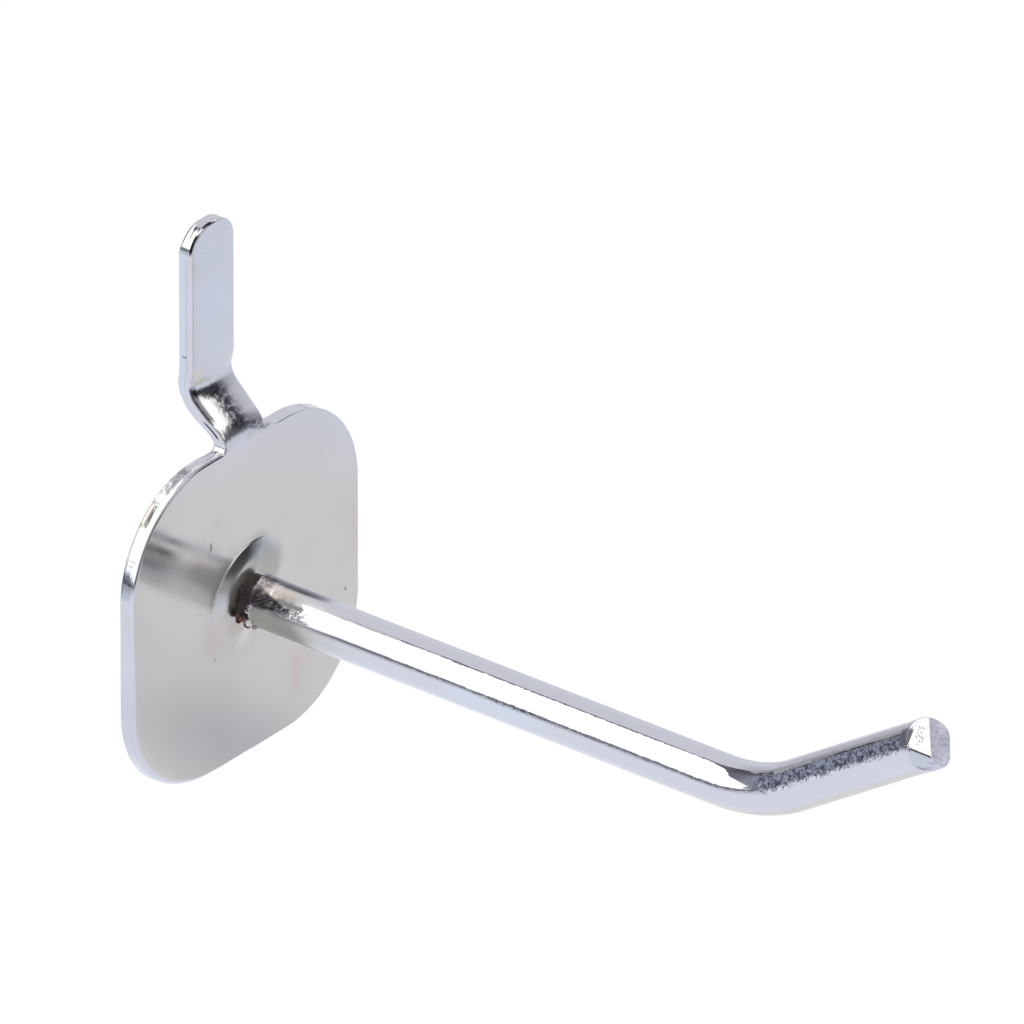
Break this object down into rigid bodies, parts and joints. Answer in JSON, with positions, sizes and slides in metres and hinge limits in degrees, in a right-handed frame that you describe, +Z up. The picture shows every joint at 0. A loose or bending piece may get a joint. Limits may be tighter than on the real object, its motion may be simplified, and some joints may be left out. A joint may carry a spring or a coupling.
{
  "type": "pegboard hook",
  "caption": "Chromed pegboard hook: a rounded stamped plate with a cranked tongue that drops behind the board, and a straight round prong with an upturned end.",
  "frame": {"origin": "where the prong's axis meets the plane of the plate's back face, which bears on the board", "axes": "+Z up the plate towards the tongue's tip; +Y into the board, so the prong points along -Y; +X to the right seen from the front"},
  "size_m": [0.0322, 0.0842, 0.0531],
  "materials": {
    "plate_chrome": "satin chrome plate on stamped steel",
    "rod_chrome": "bright chrome plate on drawn wire",
    "weld_metal": "dark rough weld metal"
  },
  "bodies": {
    "root": {"back_plate": "plate_chrome", "hook_rod": "rod_chrome", "weld_bead": "weld_metal"}
  },
  "joints": []
}
